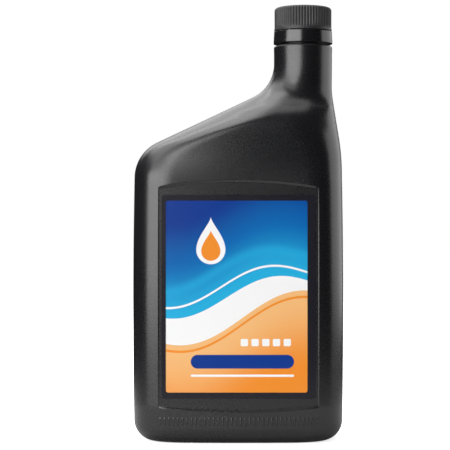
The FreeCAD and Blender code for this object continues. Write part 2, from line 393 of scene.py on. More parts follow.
class Shader:
    """A node tree being wired, with short calls for the nodes that the finishes use."""

    def __init__(self, tree: bpy.types.NodeTree) -> None:
        """Starts wiring this tree."""
        self.tree = tree

    def node(self, kind: str, inputs: dict[Any, Any] | None = None, **settings: Any) -> bpy.types.Node:
        """Adds a node.

        Args:
            kind: Blender's name of the node type.
            inputs: Value, term or socket for each input, by name or number.
            settings: Properties of the node.

        Returns:
            The node.
        """
        row, column = divmod(len(self.tree.nodes), NODES_A_ROW)
        made = self.tree.nodes.new(kind)
        made.location = (NODE_STEP[0] * column, -NODE_STEP[1] * row)
        for name, value in settings.items():
            setattr(made, name, value)
        for name, value in (inputs or {}).items():
            socket = made.inputs[name]
            if isinstance(value, Term):
                value = value.socket
            if isinstance(value, bpy.types.NodeSocket):
                self.tree.links.new(value, socket)
            else:
                socket.default_value = (*value, 1.0) if socket.type == "RGBA" else value
        return made

    def blend(self, share: Any, under: Any, over: Any) -> bpy.types.NodeSocket:
        """Mixes two colours and returns the result."""
        inputs = {0: share, 6: under, 7: over}
        return self.node("ShaderNodeMix", inputs, data_type="RGBA", clamp_factor=True).outputs[2]

    def place(self) -> bpy.types.NodeSocket:
        """Returns the place on the piece, in metres."""
        return self.node("ShaderNodeTexCoord").outputs["Object"]

    def axes(self) -> list[Term]:
        """Returns X, Y and Z of the place on the piece, in metres."""
        split = self.node("ShaderNodeSeparateXYZ", {0: self.place()})
        return [Term(self, socket) for socket in split.outputs]

    def noise(self, where: Any, scale: Any, detail: float = 2.0, roughness: float = 0.5) -> Term:
        """Adds noise with this many features a metre and returns its value."""
        inputs = {"Vector": where, "Scale": scale, "Detail": detail, "Roughness": roughness}
        return Term(self, self.node("ShaderNodeTexNoise", inputs).outputs[0])

    def bump(self, height: Any, distance: float) -> bpy.types.NodeSocket:
        """Turns a height into a normal, its full range this many metres high."""
        return self.node("ShaderNodeBump", {"Height": height, "Distance": distance}).outputs[0]

    def surface(self, inputs: dict[str, Any]) -> None:
        """Ends the tree with one Principled surface that has these inputs."""
        principled = self.node("ShaderNodeBsdfPrincipled", inputs)
        self.node("ShaderNodeOutputMaterial", {"Surface": principled.outputs[0]})

    def by_ray(self, seen: bpy.types.Node, reflected: bpy.types.Node, output: str) -> None:
        """Ends the tree with one shader for what the camera sees and one for all other rays.

        Args:
            seen: What the camera's own rays meet.
            reflected: What gloss and light meet.
            output: Blender's name of the output node's type.
        """
        path = self.node("ShaderNodeLightPath")
        inputs = {0: path.outputs["Is Camera Ray"], 1: reflected.outputs[0], 2: seen.outputs[0]}
        mixed = self.node("ShaderNodeMixShader", inputs)
        self.node(output, {"Surface": mixed.outputs[0]})


def blank_material(name: str) -> tuple[bpy.types.Material, Shader]:
    """Makes an empty material and starts wiring it.

    Args:
        name: Name of the material.

    Returns:
        The material and its empty tree.
    """
    material = bpy.data.materials.new(name)
    material.use_nodes = True
    material.node_tree.nodes.clear()
    return material, Shader(material.node_tree)


@dataclass(frozen=True)
class MouldedSkin:
    """The surface that every moulded plastic shares: fine grain, slow flow marks and rubbed spots."""

    flow_scale: float = 26.0
    flow_height: float = 1.6
    scuff_scale: float = 420.0
    scuff_stretch: float = 0.12
    scuff_span: Pair = (0.6, 0.74)
    patch_scale: float = 34.0
    patch_span: Pair = (0.5, 0.68)
    rub_roughness: float = 0.25

    def build(self) -> bpy.types.ShaderNodeTree:
        """Builds the skin.

        Returns:
            A node group with inputs Place, Grain scale, Roughness, Unevenness and Wear, and
            outputs Height, Roughness and Rub.
        """
        group = bpy.data.node_groups.new("moulded_skin", "ShaderNodeTree")
        interface = group.interface
        interface.new_socket("Place", in_out="INPUT", socket_type="NodeSocketVector")
        for name in ("Grain scale", "Roughness", "Unevenness", "Wear"):
            interface.new_socket(name, in_out="INPUT", socket_type="NodeSocketFloat")
        for name in ("Height", "Roughness", "Rub"):
            interface.new_socket(name, in_out="OUTPUT", socket_type="NodeSocketFloat")
        shader = Shader(group)
        given = shader.node("NodeGroupInput").outputs
        place = given["Place"]
        grain = shader.noise(place, given["Grain scale"], 3.0)
        flow = shader.noise(place, self.flow_scale, 3.0)
        stretch = {"Vector": place, "Scale": (1.0, 1.0, self.scuff_stretch)}
        stretched = shader.node("ShaderNodeMapping", stretch).outputs[0]
        scuff = shader.noise(stretched, self.scuff_scale, 4.0, 0.62)
        patch = shader.noise(place, self.patch_scale)
        rub = scuff.span(*self.scuff_span) * patch.span(*self.patch_span) * given["Wear"]
        uneven = (flow + grain - 1.0) * given["Unevenness"]
        rough = uneven + given["Roughness"] + rub * self.rub_roughness
        height = flow * self.flow_height + grain
        shader.node("NodeGroupOutput", {"Height": height, "Roughness": rough, "Rub": rub})
        return group


@dataclass(frozen=True)
class MouldedPlastic:
    """Finish of a moulded plastic piece."""

    name: str
    colour: Colour
    rubbed: Colour
    roughness: float
    unevenness: float = 0.05
    grain_scale: float = 900.0
    grain_height: float = 0.00002
    wear: float = 0.3

    def build(self, skin: bpy.types.ShaderNodeTree) -> bpy.types.Material:
        """Builds the finish.

        Args:
            skin: The node group that all moulded pieces share.

        Returns:
            The material.
        """
        material, shader = blank_material(self.name)
        values = {
            "Place": shader.place(),
            "Grain scale": self.grain_scale,
            "Roughness": self.roughness,
            "Unevenness": self.unevenness,
            "Wear": self.wear,
        }
        skinned = shader.node("ShaderNodeGroup", values, node_tree=skin).outputs
        shader.surface(
            {
                "Base Color": shader.blend(skinned["Rub"], self.colour, self.rubbed),
                "Roughness": skinned["Roughness"],
                "Normal": shader.bump(skinned["Height"], self.grain_height),
                "IOR": 1.5,
                "Specular IOR Level": 1.0,
            }
        )
        return material


@dataclass(frozen=True)
class LinerFoam:
    """Finish of the white sealing foam: soft cells under a smooth skin."""

    name: str = "liner_foam"
    colour: Colour = (0.78, 0.77, 0.73)
    shade: Colour = (0.6, 0.58, 0.53)
    roughness: float = 0.62
    cell_scale: float = 1600.0
    cell_height: float = 0.00006

    def build(self) -> bpy.types.Material:
        """Builds the finish.

        Returns:
            The material.
        """
        material, shader = blank_material(self.name)
        inputs = {"Vector": shader.place(), "Scale": self.cell_scale}
        cells = shader.node("ShaderNodeTexVoronoi", inputs).outputs[0]
        shader.surface(
            {
                "Base Color": shader.blend(cells, self.colour, self.shade),
                "Roughness": self.roughness,
                "Normal": shader.bump(cells, self.cell_height),
            }
        )
        return material


@dataclass(frozen=True)
class OilFinish:
    """Finish of the oil: deep amber, lighter towards its top."""

    name: str = "amber_oil"
    deep: Colour = (0.2, 0.07, 0.008)
    light: Colour = (0.62, 0.3, 0.04)
    low: float = 0.15
    high: float = 0.182
    roughness: float = 0.06
    ripple_scale: float = 60.0
    ripple_height: float = 0.0002

    def build(self) -> bpy.types.Material:
        """Builds the finish.

        Returns:
            The material.
        """
        material, shader = blank_material(self.name)
        rise = shader.axes()[2].span(self.low, self.high)
        shader.surface(
            {
                "Base Color": shader.blend(rise, self.deep, self.light),
                "Roughness": self.roughness,
                "Normal": shader.bump(shader.noise(shader.place(), self.ripple_scale), self.ripple_height),
                "IOR": 1.47,
            }
        )
        return material


@dataclass(frozen=True)
class Wave:
    """A wave across the label that rises to the right, in millimetres."""

    level: float
    swing: float
    length: float
    shift: float
    tilt: float

    def distance(self, x: Term, z: Term) -> Term:
        """How far a place lies above the wave, whose crest is a sine on a slope."""
        sine = ((x - self.shift) * (FULL_TURN / self.length)).math("SINE")
        return z - (sine * self.swing + self.level + x * self.tilt)


@dataclass(frozen=True)
class Bar:
    """An upright rectangle with rounded corners on the label, in millimetres."""

    centre: Pair
    half: Pair
    radius: float

    def distance(self, x: Term, z: Term) -> Term:
        """Distance to its edge, negative inside: that of a smaller sharp one, less the radius.

        Args:
            x: Place across the label.
            z: Height of the place.

        Returns:
            The distance.
        """
        across, up = (abs(p - c) - (h - self.radius) for p, c, h in zip((x, z), self.centre, self.half))
        out_x, out_z = (side.math("MAXIMUM", 0.0) for side in (across, up))
        outside = (out_x * out_x + out_z * out_z).math("SQRT")
        inside = across.math("MAXIMUM", up).math("MINIMUM", 0.0)
        return outside + inside - self.radius


@dataclass(frozen=True)
class Drop:
    """A drop on the label: half a circle below its centre and a drawn-out point above, in millimetres."""

    centre: Pair
    radius: float
    height: float
    taper: float = 1.5

    def distance(self, x: Term, z: Term) -> Term:
        """Distance to its edge, negative inside: a circle's, or the point's above the centre.

        At the share t of its height the point is r (1 - t)^1.5 (1 + 1.5 t) wide on each side.

        Args:
            x: Place across the label.
            z: Height of the place.

        Returns:
            The distance.
        """
        across = abs(x - self.centre[0])
        up = z - self.centre[1]
        share = up.math("MAXIMUM", 0.0).math("DIVIDE", self.height).math("MINIMUM", 1.0)
        swell = (-share + 1.0).math("POWER", self.taper) * (share * self.taper + 1.0)
        point = (across - swell * self.radius).math("MAXIMUM", up - self.height)
        ball = (across * across + up * up).math("SQRT") - self.radius
        return ball + (point - ball) * up.math("GREATER_THAN", 0.0)


@dataclass(frozen=True)
class LabelPrint:
    """Print of the front label: a plain design of waves, a drop and bars in blue, white and orange."""

    name: str = "label_print"
    border: Colour = (0.008, 0.0076, 0.0115)
    deep_blue: Colour = (0.003, 0.035, 0.24)
    blue: Colour = (0.002, 0.13, 0.42)
    sky: Colour = (0.02, 0.42, 0.72)
    white: Colour = (0.92, 0.92, 0.92)
    pale_orange: Colour = (0.9, 0.5, 0.2)
    orange: Colour = (0.86, 0.27, 0.025)
    upper: Wave = Wave(78.0, 7.5, 96.0, -6.0, 0.14)
    lower: Wave = Wave(66.0, 8.5, 104.0, 2.0, 0.2)
    glow: Wave = Wave(93.0, 6.0, 88.0, -12.0, 0.2)
    line: Wave = Wave(84.0, 7.0, 92.0, -9.0, 0.16)
    drop: Drop = Drop((-14.5, 102.0), 7.6, 17.0)
    heart: Drop = Drop((-14.5, 101.2), 5.0, 11.0)
    band: Bar = Bar((2.0, 43.5), (27.0, 3.6), 3.6)
    rule: Bar = Bar((2.0, 36.2), (27.0, 0.6), 0.6)
    picture: Bar = Bar((-1.0, 77.5), (36.95, 50.1), 1.2)
    blue_fade: Pair = (0.0, 30.0)
    deep_fade: Pair = (24.0, 52.0)
    warm_fade: Pair = (-2.0, -42.0)
    glow_reach: float = 5.0
    glow_share: float = 0.5
    line_half: float = 0.55
    stripe_drop: float = 3.4
    stripe_half: float = 0.6
    square_count: int = 5
    square_start: Pair = (3.0, 53.5)
    square_step: float = 5.6
    square_half: float = 1.9
    square_corner: float = 0.7
    edge: float = 0.12
    roughness: float = 0.2
    film_roughness: float = 0.06
    film_scale: float = 55.0
    film_height: float = 6.0
    fibre_scale: float = 1300.0
    relief: float = 0.00001

    def mask(self, distance: Term) -> Term:
        """Turns a distance in millimetres, negative inside a shape, into a mask with a clean edge."""
        return distance.span(self.edge, -self.edge, smooth=False)

    def ground(self, shader: Shader, x: Term, z: Term) -> bpy.types.NodeSocket:
        """Blue sky over a white and an orange wave, with a glow and a thin line in the sky.

        Args:
            shader: The tree being wired.
            x: Place across the label, in millimetres.
            z: Height of the place, in millimetres.

        Returns:
            The colour.
        """
        upper, lower, glow, line = (
            wave.distance(x, z) for wave in (self.upper, self.lower, self.glow, self.line)
        )
        sky = shader.blend(upper.span(*self.blue_fade), self.sky, self.blue)
        sky = shader.blend(upper.span(*self.deep_fade), sky, self.deep_blue)
        sky = shader.blend(abs(glow).span(self.glow_reach, 0.0, 0.0, self.glow_share), sky, self.sky)
        sky = shader.blend(self.mask(abs(line) - self.line_half), sky, self.white)
        warm = shader.blend(lower.span(*self.warm_fade), self.pale_orange, self.orange)
        stripe = abs(lower + self.stripe_drop) - self.stripe_half
        warm = shader.blend(self.mask(stripe), warm, self.orange)
        colour = shader.blend(self.mask(-upper), self.white, sky)
        return shader.blend(self.mask(lower), colour, warm)

    def motifs(self) -> list[tuple[Bar | Drop, Colour]]:
        """The shapes printed over the ground, in order, each with its colour.

        Returns:
            The shapes and their colours.
        """
        left, level = self.square_start
        half = (self.square_half, self.square_half)
        squares = [
            (Bar((left + self.square_step * step, level), half, self.square_corner), self.white)
            for step in range(self.square_count)
        ]
        return [
            (self.drop, self.white),
            (self.heart, self.orange),
            (self.band, self.deep_blue),
            (self.rule, self.white),
            *squares,
        ]

    def build(self) -> bpy.types.Material:
        """Builds the print: the ground, the motifs over it and the border round them.

        Returns:
            The material.
        """
        material, shader = blank_material(self.name)
        across, _, up = shader.axes()
        x, z = across * (1 / MM), up * (1 / MM)
        colour = self.ground(shader, x, z)
        for motif, paint in self.motifs():
            colour = shader.blend(self.mask(motif.distance(x, z)), colour, paint)
        colour = shader.blend(self.mask(self.picture.distance(x, z)), self.border, colour)
        place = shader.place()
        film = shader.noise(place, self.film_scale)
        fibre = shader.noise(place, self.fibre_scale)
        shader.surface(
            {
                "Base Color": colour,
                "Roughness": film * self.film_roughness + self.roughness,
                "Normal": shader.bump(film * self.film_height + fibre, self.relief),
            }
        )
        return material


@dataclass(frozen=True)
class Ogee:
    """A wall that stands, leans in over a straight slope and stands again."""

    travel: float
    foot: float
    lean: float
    corner_radius: float
    sweep_radius: float

    def reach(self, height: Array, inset: Array | float) -> Array:
        """How far in the wall has come: arc, straight slope, opposite arc, then the full travel.

        Args:
            height: Heights to read.
            inset: How far inside the outer wall the surface lies.

        Returns:
            Inward distance from where the outer wall stands.
        """
        lean = math.radians(self.lean)
        bend = math.tan(lean / 2)
        start = self.foot - self.corner_radius * bend
        end = self.foot + self.travel / math.tan(lean) + self.sweep_radius * bend
        corner = self.corner_radius - inset
        sweep = self.sweep_radius + inset
        height, inset = np.broadcast_arrays(height, inset)
        return np.select(
            [
                height <= start,
                height <= start + corner * math.sin(lean),
                height >= end,
                height >= end - sweep * math.sin(lean),
            ],
            [
                inset,
                self.corner_radius - np.sqrt(np.maximum(corner**2 - (height - start) ** 2, 0.0)),
                self.travel + inset,
                self.travel - self.sweep_radius + np.sqrt(np.maximum(sweep**2 - (end - height) ** 2, 0.0)),
            ],
            (height - self.foot) * math.tan(lean) + inset / math.cos(lean),
        )


def edge_round(distance: Array, radius: float, inset: Array | float) -> Array:
    """How much a wall draws in near an end with a rounded edge: a quarter circle.

    Args:
        distance: Distance from the end.
        radius: Radius of the edge on the outer wall.
        inset: How far inside the outer wall the surface lies.

    Returns:
        Inward distance: r - sqrt(r² - d²) within the edge.
    """
    inner = np.maximum(radius - inset, LEAST_RADIUS)
    rise = np.minimum(np.maximum(radius - distance, 0.0), inner)
    return inner - np.sqrt(inner**2 - rise**2)


@dataclass
class BlownForm:
    """The bottle's blown form: its walls by height, and its plan of a flat middle and two noses."""

    half_width: float = 56.5
    half_depth: float = 29.25
    draw_in: float = 0.7
    base_corner_radius: float = 10.5
    base_edge_radius: float = 9.0
    body_nose: float = 23.0
    body_power: float = 2.9
    roof_nose: float = 34.0
    roof_power: float = 2.1
    nose_start: float = 142.0
    nose_end: float = 175.0
    flank_start: float = 148.0
    flank_end: float = 194.0
    neck_offset: float = 35.0
    neck_radius: float = 15.7
    neck_top: float = 211.3
    neck_edge_radius: float = 1.0
    round_start: float = 168.0
    round_end: float = 200.0
    crown: float = 0.3
    bulge: float = 0.8
    bulge_reach: float = 30.0
    bulge_below: Pair = (7.0, 21.0)
    bulge_above: Pair = (136.0, 152.0)
    bulge_gone: Pair = (168.0, 182.0)
    nose_weight: float = 35.0
    roof: Ogee = field(init=False)
    flank: Ogee = field(init=False)
    face: Ogee = field(init=False)
    shoulder: float = field(init=False)

    def __post_init__(self) -> None:
        """Works out the three leaning walls from the body and the neck."""
        roof_travel = self.half_width + self.neck_offset - self.neck_radius
        flank_travel = self.half_width - self.neck_offset - self.neck_radius
        face_travel = self.half_depth - self.neck_radius
        self.roof = Ogee(roof_travel, foot=153.5, lean=64.7, corner_radius=21.0, sweep_radius=20.0)
        self.flank = Ogee(flank_travel, foot=152.0, lean=9.5, corner_radius=120.0, sweep_radius=45.0)
        self.face = Ogee(face_travel, foot=172.0, lean=50.0, corner_radius=21.0, sweep_radius=16.0)
        self.shoulder = self.roof.foot - self.roof.corner_radius * math.tan(math.radians(self.roof.lean) / 2)

    def limits(self, height: Array, inset: Array | float) -> tuple[Array, Array, Array]:
        """Left wall, right wall and half depth at each height.

        Args:
            height: Heights to read.
            inset: How far inside the outer wall the surface lies.

        Returns:
            The left X, the right X and the half depth.
        """
        bowed = self.bowed(height)
        drawn = self.draw_in * bowed
        side = edge_round(height, self.base_corner_radius, inset)
        front = edge_round(height, self.base_edge_radius, inset)
        top = edge_round(self.neck_top - height, self.neck_edge_radius, inset)
        left = -self.half_width + drawn + self.roof.reach(height, inset) + side + top
        right = self.half_width - drawn - self.flank.reach(height, inset) - side - top
        depth = self.half_depth - self.crown * bowed - self.face.reach(height, inset) - front - top
        return left, right, depth

    def noses(self, height: Array, width: Array) -> tuple[Array, Array, Array, Array]:
        """Length and squareness of the left and right noses at each height.

        Args:
            height: Heights to read.
            width: Width of the form there.

        Returns:
            Left length, right length, left power and right power.
        """
        turned = eased(height, self.round_start, self.round_end)
        flank = eased(height, self.flank_start, self.flank_end)
        roof = eased(height, self.nose_start, self.nose_end)
        circle = width / 2
        left = self.body_nose + (self.roof_nose - self.body_nose) * roof
        left = np.minimum(left + (circle - left) * turned, circle)
        right = np.minimum(self.body_nose + (circle - self.body_nose) * flank, circle)
        left_power = self.body_power + (self.roof_power - self.body_power) * roof
        left_power = left_power + (2 - left_power) * turned
        right_power = self.body_power + (2 - self.body_power) * flank
        return left, right, left_power, right_power

    def flattened(self, x: Array, height: Array, depth: Array) -> Array:
        """Share of the half depth left beside the middle: 1 less a parabola, above and below the panel.

        Args:
            x: Places across the form.
            height: Heights of the places.
            depth: Half depth there.

        Returns:
            The share, 1 in the middle.
        """
        above = eased(height, *self.bulge_above) * (1 - eased(height, *self.bulge_gone))
        below = 1 - eased(height, *self.bulge_below)
        sag = self.bulge * (x / self.bulge_reach) ** 2 * (above + below)
        return 1 - sag / np.maximum(depth, 1.0)

    def bowed(self, height: Array) -> Array:
        """How much of its drawing in the form has at each height: a parabola, gone at the neck.

        Args:
            height: Heights to read.

        Returns:
            The share, 0 in the middle of the body and 1 at the floor and the shoulder.
        """
        middle = self.shoulder / 2
        share = np.minimum(((height - middle) / middle) ** 2, 1.0)
        return share * (1 - eased(height, self.shoulder, self.neck_top))

    def flat_at(self, height: Array, inset: float) -> Array:
        """Half depth of the panels' flat floor at each height, this far inside the face."""
        return self.half_depth - self.crown * self.bowed(height) - inset

    def straight_share(self, straight: Any) -> Any:
        """Angle in radians that half of the flat run gets: its length s gives s / (s + nose_weight)."""
        return straight / (straight + self.nose_weight)

    def surface(self, height: Array, angle: Array, inset: Array | float) -> Array:
        """Points of the form: superelliptic noses, |x|^p + |y|^p = 1, with a straight run between them.

        Args:
            height: Heights, shaped like the angles or able to spread over them.
            angle: Angle round the form, 0 at its right tip and growing towards the back.
            inset: How far inside the outer wall the surface lies.

        Returns:
            The points, with x, y and z on the last axis.
        """
        height, angle, inset = np.broadcast_arrays(height, angle, inset)
        left, right, depth = self.limits(height, inset)
        left_nose, right_nose, left_power, right_power = self.noses(height, right - left)
        straight = np.maximum(right - left - left_nose - right_nose, 0.0)
        half_turn = np.where(angle > math.pi, FULL_TURN - angle, angle)
        side = np.where(angle > math.pi, -1.0, 1.0)
        share = self.straight_share(straight)
        nose_turn = QUARTER_TURN - share
        on_right = half_turn <= nose_turn
        on_left = half_turn >= math.pi - nose_turn
        from_tip = np.where(on_left, math.pi - half_turn, half_turn)
        around = np.clip(from_tip / nose_turn, 0.0, 1.0) * QUARTER_TURN
        power = np.where(on_left, left_power, right_power)
        nose = np.where(on_left, left_nose, right_nose)
        back = nose * (1 - np.clip(np.cos(around), 0.0, 1.0) ** (2 / power))
        out = depth * np.clip(np.sin(around), 0.0, 1.0) ** (2 / power)
        along = np.clip((half_turn - nose_turn) / np.maximum(2 * share, 1e-9), 0.0, 1.0)
        middle = right - right_nose - along * straight
        x = np.where(on_right, right - back, np.where(on_left, left + back, middle))
        y = side * np.where(on_right | on_left, out, depth) * self.flattened(x, height, depth)
        return np.stack([x, y, height], axis=-1)

    def front_at(self, x: Array, height: Array, inset: float) -> Array:
        """Y of the front face above a place, from the nose's superellipse where it curves away.

        Args:
            x: Places across the front.
            height: Heights of the places.
            inset: How far inside the outer wall the surface lies.

        Returns:
            The Y of the face, which is negative.
        """
        left, right, depth = self.limits(height, inset)
        left_nose, right_nose, left_power, right_power = self.noses(height, right - left)
        past_right = np.clip((x - (right - right_nose)) / right_nose, 0.0, 1.0)
        past_left = np.clip(((left + left_nose) - x) / left_nose, 0.0, 1.0)
        at_right = (1 - past_right**right_power) ** (1 / right_power)
        at_left = (1 - past_left**left_power) ** (1 / left_power)
        return -depth * (at_right * at_left) * self.flattened(x, height, depth)


@dataclass
class LabelPanel:
    """A label panel let into the face: upright sides, bowed top and bottom, soft step."""

    half_width: float = 42.3
    low: float = 19.2
    high: float = 135.2
    top_bow: float = 3.5
    bottom_bow: float = 2.3
    depth: float = 0.9
    side_step: float = 0.55
    step: float = 1.6
    bow_reach: float = 40.0
    rim: float = 3.0
    fade_above: float = 22.0
    fade_below: float = 14.0

    def bowed_height(self, height: Array, x: Array) -> Array:
        """Moves rows of points so that one of them runs along each bowed edge.

        Args:
            height: Heights of the rows before they bow.
            x: Place across the face.

        Returns:
            The heights that the points go to: a parabola, fading out away from each edge.
        """
        arch = np.maximum(1 - (x / self.half_width) ** 2, 0.0)
        at_top = eased(height, self.high - self.bow_reach, self.high)
        at_top = at_top * (1 - eased(height, self.high + self.rim, self.high + self.fade_above))
        at_low = 1 - eased(height, self.low, self.low + self.bow_reach)
        at_low = at_low * eased(height, self.low - self.fade_below, self.low - self.rim)
        return height + arch * (self.top_bow * at_top - self.bottom_bow * at_low)

    def sunk(self, x: Array, flat_height: Array) -> Array:
        """Share of the panel's depth at a place: 0 outside, 1 on its floor, eased across the step.

        Args:
            x: Place across the face.
            flat_height: Height before the rows were bowed.

        Returns:
            The share: the product of a step at the sides and a wider one at the top and bottom.
        """
        across = self.half_width - np.abs(x)
        up = (self.high - self.low) / 2 - np.abs(flat_height - (self.low + self.high) / 2)
        return eased(across, 0.0, self.side_step) * eased(up, 0.0, self.step)


@dataclass
class Bottle:
    """The blown bottle: shell with its panels, hollow foot, finish and cavity, its seams and its marks."""

    form: BlownForm
    panel: LabelPanel
    skin: float = 0.12
    wall: float = 1.0
    foot_width: float = 5.0
    push_up: float = 2.4
    push_up_run: float = 6.0
    pinch_length: float = 62.0
    pinch_width: float = 1.6
    pinch_height: float = 0.8
    pinch_ragged: float = 0.12
    pinch_lift: float = 0.1
    pinch_root: float = 0.3
    seam_width: float = 0.55
    seam_height: float = 0.1
    seam_root: float = 0.15
    seam_low: float = 3.0
    seam_fade: float = 5.0
    finish_radius: float = 12.6
    bore_radius: float = 10.9
    finish_height: float = 18.3
    bead_radius: float = 13.7
    bead_low: float = 3.6
    thread_radius: float = 13.6
    thread_turns: float = 1.6
    thread_start: float = 8.6
    mark_count: int = 36
    mark_width: float = 1.0
    mark_low: float = 9.8
    mark_high: float = 14.4
    mark_reach: float = 41.0
    mark_height: float = 0.32
    mark_rim: float = 0.03
    mark_root: float = 0.25

    def columns(self) -> Array:
        """Angles of the shell's columns: close together where the panels' sides cross them.

        Returns:
            Angles round the form, from 0 up to a full turn.
        """
        form = self.form
        nose_turn = QUARTER_TURN - form.straight_share(2 * (form.half_width - form.body_nose))

        def turn_at(x: float) -> float:
            """Angle of the column that lies at this X on the body."""
            back = 1 - (form.half_width - x) / form.body_nose
            return nose_turn * math.acos(back ** (form.body_power / 2)) / QUARTER_TURN

        inner_margin, outer_margin = 0.6, 0.8
        edge_in = turn_at(self.panel.half_width - self.panel.side_step - inner_margin)
        edge_out = turn_at(self.panel.half_width + outer_margin)
        quarter = spaced([0.0, edge_out, edge_in, nose_turn, QUARTER_TURN], [20, 13, 8, 18])
        half = np.concatenate([quarter, math.pi - quarter[-2::-1]])
        return np.concatenate([half, FULL_TURN - half[-2:0:-1]])

    def underside(self, angles: Array) -> Array:
        """Rings of the hollow foot, from its middle out to the rim: the foot's outline, drawn in evenly.

        Args:
            angles: Angles of the shell's columns.

        Returns:
            The points: two rings on the flat ceiling, its smooth slope down, and the standing rim.
        """
        left, right, depth = (float(v) for v in self.form.limits(np.array(0.0), 0.0))
        rim = self.form.surface(np.zeros((1, 1)), angles[None, :], 0.0)[0]
        slope = np.linspace(0.0, 1.0, 9)
        inset = np.append(self.foot_width + self.push_up_run - slope * self.push_up_run, self.foot_width / 2)
        rise = np.concatenate([[1.0, 1.0], 1 - eased(slope, 0.0, 1.0), [0.0]]) * self.push_up
        middle, reach = (left + right) / 2, (right - left) / 2
        across = np.concatenate([[0.0, 0.45], 1 - inset / reach])
        deep = np.concatenate([[0.0, 0.3], 1 - inset / depth])
        x = middle + (rim[None, :, 0] - middle) * across[:, None]
        y = rim[None, :, 1] * deep[:, None]
        return np.stack([x, y, np.broadcast_to(rise[:, None], x.shape)], axis=-1)

    def wall_rows(self) -> Array:
        """Heights of the outer wall's rows, close together at the foot, the panels' edges and the bends.

        Returns:
            The heights, from the floor to the top of the neck.
        """
        form, panel = self.form, self.panel
        margin = 0.4
        foot = form.base_corner_radius * (1 - np.cos(np.linspace(0.0, QUARTER_TURN, 15)))
        stops = [
            float(foot[-1]),
            panel.low - margin,
            panel.low + panel.step + margin,
            panel.low + panel.bow_reach,
            panel.high - panel.bow_reach,
            panel.high - panel.step - margin,
            panel.high + margin,
            form.shoulder,
            form.neck_top - 8.0,
            form.neck_top - form.neck_edge_radius,
        ]
        body = spaced(stops, [4, 10, 18, 10, 18, 10, 4, 62, 5])
        edge = form.neck_top - form.neck_edge_radius * (1 - np.sin(np.linspace(0.0, QUARTER_TURN, 6)))
        return np.concatenate([foot[:-1], body, edge[1:]])

    def outer_wall(self, angles: Array) -> Array:
        """The blown outer wall, a skin's width inside the form, with both label panels let in.

        Args:
            angles: Angles of the shell's columns.

        Returns:
            The points. In a panel, Y goes from the wall to the panel's floor by the panel's share.
        """
        rows = self.wall_rows()[:, None]
        form = self.form
        flat = form.surface(rows, angles[None, :], 0.0)
        height = self.panel.bowed_height(rows, flat[..., 0])
        share = self.panel.sunk(flat[..., 0], np.broadcast_to(rows, height.shape))
        skin = self.skin * eased(height, 0.0, 4.0) * (1 - eased(height, form.neck_top - 6, form.neck_top - 2))
        wall = form.surface(height, angles[None, :], skin)
        floor = np.sign(wall[..., 1]) * form.flat_at(height, self.panel.depth)
        wall[..., 1] += (floor - wall[..., 1]) * share
        return wall

    def mouth_profile(self) -> Array:
        """Profile of the ledge, the finish with its bead, the lip and the bore, as (radius, height).

        Returns:
            The profile, from the neck's top up over the lip and down the bore.
        """
        top = self.form.neck_top
        mouth = top + self.finish_height
        bead = top + self.bead_low
        radius = self.finish_radius
        fillet, bead_fillet, bead_edge, lip = 0.5, 0.25, 0.3, 0.45
        ledge = arc_points((radius + fillet, top + fillet), fillet, 270, 180, 5)
        under = arc_points((radius + bead_fillet, bead - bead_fillet), bead_fillet, 180, 90, 4)
        nose = arc_points((self.bead_radius - bead_edge, bead + 0.35), bead_edge, -60, 50, 6)
        slope_end = [(radius + 0.15, bead + 1.85), (radius, bead + 2.15)]
        plain = [(radius, height) for height in np.linspace(bead + 3.2, mouth - lip, 5)]
        rim_out = arc_points((radius - lip, mouth - lip), lip, 10, 90, 6)
        rim_in = arc_points((self.bore_radius + lip, mouth - lip), lip, 90, 170, 6)
        bore = [(self.bore_radius, height) for height in np.linspace(mouth - 1.5, top - 0.6, 8)]
        root = arc_points((self.bore_radius + fillet, top - self.wall), fillet, 180, 270, 4)
        return np.concatenate([ledge, under, nose, slope_end, plain, rim_out, rim_in, bore, root])

    def cavity(self, angles: Array) -> Array:
        """Inner wall: the blown form a wall's thickness in, and deeper by the panels' depth behind them.

        Args:
            angles: Angles of the shell's columns.

        Returns:
            The points, from the top of the neck down to the cavity's floor.
        """
        form = self.form
        floor = self.push_up + self.wall
        stops = [floor, form.base_corner_radius, form.shoulder, form.neck_top - self.wall - 0.5]
        rows = spaced(stops, [6, 8, 26])[::-1][:, None]
        flat = form.surface(rows, angles[None, :], self.wall)
        share = self.panel.sunk(flat[..., 0], np.broadcast_to(rows, flat.shape[:2]))
        return form.surface(rows, angles[None, :], self.wall + self.panel.depth * share)

    def shell(self) -> bpy.types.Object:
        """Makes the shell as one closed surface: foot, outer wall, mouth, bore and cavity.

        Returns:
            The piece.
        """
        angles = self.columns()
        mouth = turned_grid(self.mouth_profile(), angles, self.form.neck_offset)
        cavity = self.cavity(angles)
        cavity_floor = drawn_in(cavity[-1], (0.9, 0.6, 0.25, 0.0))
        parts = [self.underside(angles), self.outer_wall(angles), mouth, cavity, cavity_floor]
        return make_piece("bottle_shell", [grid_patch(np.concatenate(parts), True)])

